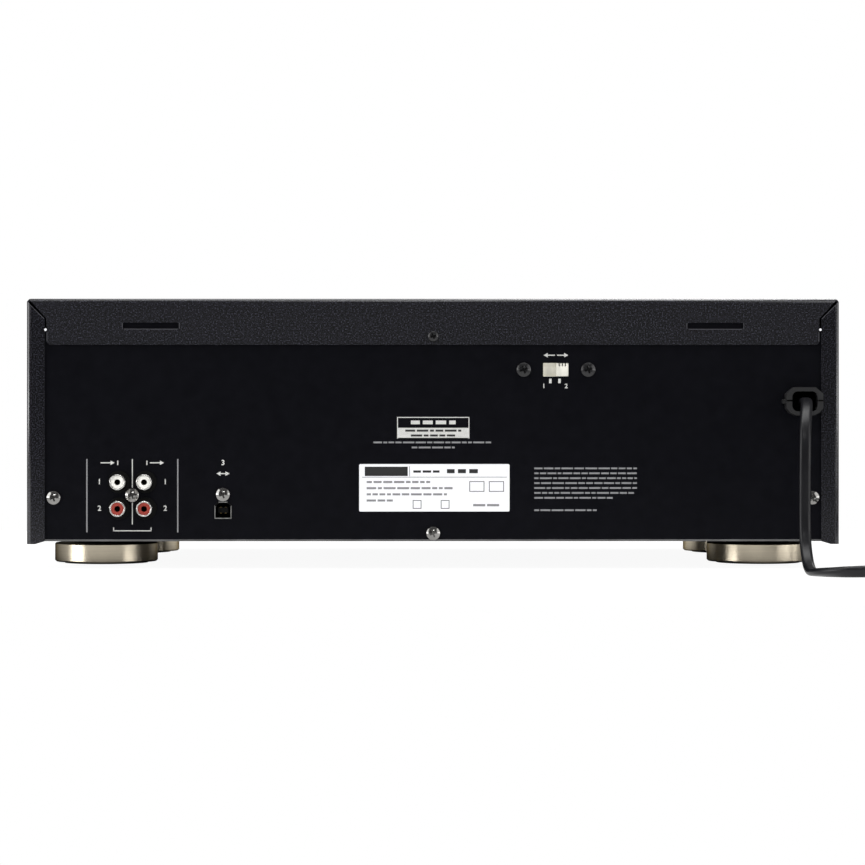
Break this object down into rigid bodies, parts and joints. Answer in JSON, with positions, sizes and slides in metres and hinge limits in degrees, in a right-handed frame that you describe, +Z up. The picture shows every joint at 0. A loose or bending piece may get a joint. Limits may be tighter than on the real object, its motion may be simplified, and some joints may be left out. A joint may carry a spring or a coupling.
{
  "type": "double cassette deck",
  "caption": "Full-width hi-fi double cassette deck with two front-loading tape doors, rear phono, USB and voltage selector sockets, and a fixed mains cord.",
  "frame": {"origin": "on the floor, under the middle of the deck's outline without its cord", "axes": "+X to the right seen from the front, +Y from the front panel to the rear panel, +Z up"},
  "size_m": [0.5561, 0.366, 0.145],
  "materials": {
    "cover_paint": "fine-grained black powder coat",
    "panel_paint": "smooth black paint",
    "chassis_steel": "zinc-plated sheet steel",
    "front_metal": "black brushed, anodised",
    "black_plastic": "satin black moulding",
    "foot_metal": "champagne, brushed",
    "rubber": "dark pad",
    "black_steel": "black-oxide screws",
    "zinc": "zinc-plated screws",
    "nickel": "nickel plate",
    "white_plastic": "satin white",
    "red_plastic": "satin red",
    "ivory_plastic": "satin ivory",
    "cord_vinyl": "black vinyl",
    "transformer_core": "varnished laminations",
    "board": "green circuit board",
    "smoked_window": "smoked clear plastic",
    "clear_window": "clear plastic",
    "mechanism_steel": "zinc-plated plate",
    "polished_steel": "ground steel",
    "brass": "turned brass",
    "key_plastic": "dark grey keys",
    "knob_metal": "black anodised, turned"
  },
  "bodies": {
    "chassis": {"bottom_chassis": "chassis_steel", "top_cover": "cover_paint", "rear_panel": "panel_paint", "front_panel": "front_metal", "front_frame": "black_plastic", "feet": "foot_metal", "foot_pads": "rubber", "black_screws": "black_steel", "zinc_screws": "zinc", "jack_block": "black_plastic", "jack_shells": "nickel", "jack_inserts_white": "white_plastic", "jack_inserts_red": "red_plastic", "usb_socket": "nickel", "selector_body": "ivory_plastic", "cord_bush": "black_plastic", "power_cord": "cord_vinyl", "cord_coil": "cord_vinyl", "power_plug": "cord_vinyl", "mains_transformer": "transformer_core", "circuit_boards": "board", "door_frames": "black_plastic", "display_window": "smoked_window", "mic_jack": "black_plastic", "mechanism_plates": "mechanism_steel", "motors": "polished_steel", "drive_belts": "rubber"},
    "door_left": {"door_left": "black_plastic", "door_window_left": "clear_window"},
    "supply_spindle_left": {"supply_spindle_left": "white_plastic"},
    "take_up_spindle_left": {"take_up_spindle_left": "white_plastic"},
    "capstan_left": {"capstan_left": "polished_steel"},
    "motor_pulley_left": {"motor_pulley_left": "brass"},
    "head_carriage_left": {"head_carriage_left": "mechanism_steel"},
    "pinch_arm_left": {"pinch_arm_left": "mechanism_steel"},
    "pinch_roller_left": {"pinch_roller_left": "rubber"},
    "eject_button_left": {"eject_button_left": "key_plastic"},
    "rewind_key_left": {"rewind_key_left": "key_plastic"},
    "play_key_left": {"play_key_left": "key_plastic"},
    "forward_key_left": {"forward_key_left": "key_plastic"},
    "stop_key_left": {"stop_key_left": "key_plastic"},
    "door_right": {"door_right": "black_plastic", "door_window_right": "clear_window"},
    "supply_spindle_right": {"supply_spindle_right": "white_plastic"},
    "take_up_spindle_right": {"take_up_spindle_right": "white_plastic"},
    "capstan_right": {"capstan_right": "polished_steel"},
    "motor_pulley_right": {"motor_pulley_right": "brass"},
    "head_carriage_right": {"head_carriage_right": "mechanism_steel"},
    "pinch_arm_right": {"pinch_arm_right": "mechanism_steel"},
    "pinch_roller_right": {"pinch_roller_right": "rubber"},
    "eject_button_right": {"eject_button_right": "key_plastic"},
    "rewind_key_right": {"rewind_key_right": "key_plastic"},
    "play_key_right": {"play_key_right": "key_plastic"},
    "forward_key_right": {"forward_key_right": "key_plastic"},
    "stop_key_right": {"stop_key_right": "key_plastic"},
    "record_key": {"record_key": "key_plastic"},
    "power_button": {"power_button": "key_plastic"},
    "selector_slider": {"selector_slider": "ivory_plastic"},
    "record_level_knob": {"record_level_knob": "knob_metal"},
    "pitch_knob": {"pitch_knob": "knob_metal"}
  },
  "joints": [
    {"name": "door_left_hinge", "type": "hinge", "parent": "chassis", "child": "door_left", "pos_m": [-0.145, -0.1238, 0.0544], "axis": [1, 0, 0], "range_deg": [0, 30]},
    {"name": "supply_spindle_left_spin", "type": "hinge", "parent": "chassis", "child": "supply_spindle_left", "pos_m": [-0.16625, -0.103, 0.0954], "axis": [0, 1, 0], "continuous": true},
    {"name": "take_up_spindle_left_spin", "type": "hinge", "parent": "chassis", "child": "take_up_spindle_left", "pos_m": [-0.12375, -0.103, 0.0954], "axis": [0, 1, 0], "continuous": true},
    {"name": "capstan_left_spin", "type": "hinge", "parent": "chassis", "child": "capstan_left", "pos_m": [-0.118, -0.103, 0.0674], "axis": [0, 1, 0], "continuous": true},
    {"name": "motor_pulley_left_spin", "type": "hinge", "parent": "chassis", "child": "motor_pulley_left", "pos_m": [-0.175, -0.081, 0.0614], "axis": [0, 1, 0], "continuous": true},
    {"name": "head_carriage_left_slide", "type": "slide", "parent": "chassis", "child": "head_carriage_left", "axis": [0, 0, 1], "range_m": [0, 0.0085]},
    {"name": "pinch_arm_left_swing", "type": "hinge", "parent": "chassis", "child": "pinch_arm_left", "pos_m": [-0.107, -0.109, 0.0514], "axis": [0, 1, 0], "range_deg": [0, 38]},
    {"name": "pinch_roller_left_spin", "type": "hinge", "parent": "pinch_arm_left", "child": "pinch_roller_left", "pos_m": [-0.12112, -0.115, 0.0516], "axis": [0, 1, 0], "continuous": true},
    {"name": "eject_button_left_press", "type": "slide", "parent": "chassis", "child": "eject_button_left", "axis": [0, 1, 0], "range_m": [0, 0.0025], "stiffness_N_per_m": 300},
    {"name": "rewind_key_left_press", "type": "slide", "parent": "chassis", "child": "rewind_key_left", "axis": [0, 1, 0], "range_m": [0, 0.0012], "stiffness_N_per_m": 400},
    {"name": "play_key_left_press", "type": "slide", "parent": "chassis", "child": "play_key_left", "axis": [0, 1, 0], "range_m": [0, 0.0012], "stiffness_N_per_m": 400},
    {"name": "forward_key_left_press", "type": "slide", "parent": "chassis", "child": "forward_key_left", "axis": [0, 1, 0], "range_m": [0, 0.0012], "stiffness_N_per_m": 400},
    {"name": "stop_key_left_press", "type": "slide", "parent": "chassis", "child": "stop_key_left", "axis": [0, 1, 0], "range_m": [0, 0.0012], "stiffness_N_per_m": 400},
    {"name": "door_right_hinge", "type": "hinge", "parent": "chassis", "child": "door_right", "pos_m": [0.145, -0.1238, 0.0544], "axis": [1, 0, 0], "range_deg": [0, 30]},
    {"name": "supply_spindle_right_spin", "type": "hinge", "parent": "chassis", "child": "supply_spindle_right", "pos_m": [0.12375, -0.103, 0.0954], "axis": [0, 1, 0], "continuous": true},
    {"name": "take_up_spindle_right_spin", "type": "hinge", "parent": "chassis", "child": "take_up_spindle_right", "pos_m": [0.16625, -0.103, 0.0954], "axis": [0, 1, 0], "continuous": true},
    {"name": "capstan_right_spin", "type": "hinge", "parent": "chassis", "child": "capstan_right", "pos_m": [0.172, -0.103, 0.0674], "axis": [0, 1, 0], "continuous": true},
    {"name": "motor_pulley_right_spin", "type": "hinge", "parent": "chassis", "child": "motor_pulley_right", "pos_m": [0.115, -0.081, 0.0614], "axis": [0, 1, 0], "continuous": true},
    {"name": "head_carriage_right_slide", "type": "slide", "parent": "chassis", "child": "head_carriage_right", "axis": [0, 0, 1], "range_m": [0, 0.0085]},
    {"name": "pinch_arm_right_swing", "type": "hinge", "parent": "chassis", "child": "pinch_arm_right", "pos_m": [0.183, -0.109, 0.0514], "axis": [0, 1, 0], "range_deg": [0, 38]},
    {"name": "pinch_roller_right_spin", "type": "hinge", "parent": "pinch_arm_right", "child": "pinch_roller_right", "pos_m": [0.16888, -0.115, 0.0516], "axis": [0, 1, 0], "continuous": true},
    {"name": "eject_button_right_press", "type": "slide", "parent": "chassis", "child": "eject_button_right", "axis": [0, 1, 0], "range_m": [0, 0.0025], "stiffness_N_per_m": 300},
    {"name": "rewind_key_right_press", "type": "slide", "parent": "chassis", "child": "rewind_key_right", "axis": [0, 1, 0], "range_m": [0, 0.0012], "stiffness_N_per_m": 400},
    {"name": "play_key_right_press", "type": "slide", "parent": "chassis", "child": "play_key_right", "axis": [0, 1, 0], "range_m": [0, 0.0012], "stiffness_N_per_m": 400},
    {"name": "forward_key_right_press", "type": "slide", "parent": "chassis", "child": "forward_key_right", "axis": [0, 1, 0], "range_m": [0, 0.0012], "stiffness_N_per_m": 400},
    {"name": "stop_key_right_press", "type": "slide", "parent": "chassis", "child": "stop_key_right", "axis": [0, 1, 0], "range_m": [0, 0.0012], "stiffness_N_per_m": 400},
    {"name": "record_key_press", "type": "slide", "parent": "chassis", "child": "record_key", "axis": [0, 1, 0], "range_m": [0, 0.0012], "stiffness_N_per_m": 400},
    {"name": "power_button_press", "type": "slide", "parent": "chassis", "child": "power_button", "axis": [0, 1, 0], "range_m": [0, 0.004], "stiffness_N_per_m": 300},
    {"name": "selector_slide", "type": "slide", "parent": "chassis", "child": "selector_slider", "axis": [1, 0, 0], "range_m": [0, 0.0049]},
    {"name": "record_level_turn", "type": "hinge", "parent": "chassis", "child": "record_level_knob", "pos_m": [0.046, -0.127, 0.0412], "axis": [0, 1, 0], "range_deg": [-150, 150]},
    {"name": "pitch_turn", "type": "hinge", "parent": "chassis", "child": "pitch_knob", "pos_m": [-0.046, -0.127, 0.0412], "axis": [0, 1, 0], "range_deg": [-150, 150]}
  ],
  "couplings": [
    {"joint": "motor_pulley_left_spin", "follows": "capstan_left_spin", "ratio": 4.913},
    {"joint": "pinch_arm_left_swing", "follows": "head_carriage_left_slide", "rad_per_m": 78},
    {"joint": "motor_pulley_right_spin", "follows": "capstan_right_spin", "ratio": 4.913},
    {"joint": "pinch_arm_right_swing", "follows": "head_carriage_right_slide", "rad_per_m": 78}
  ]
}
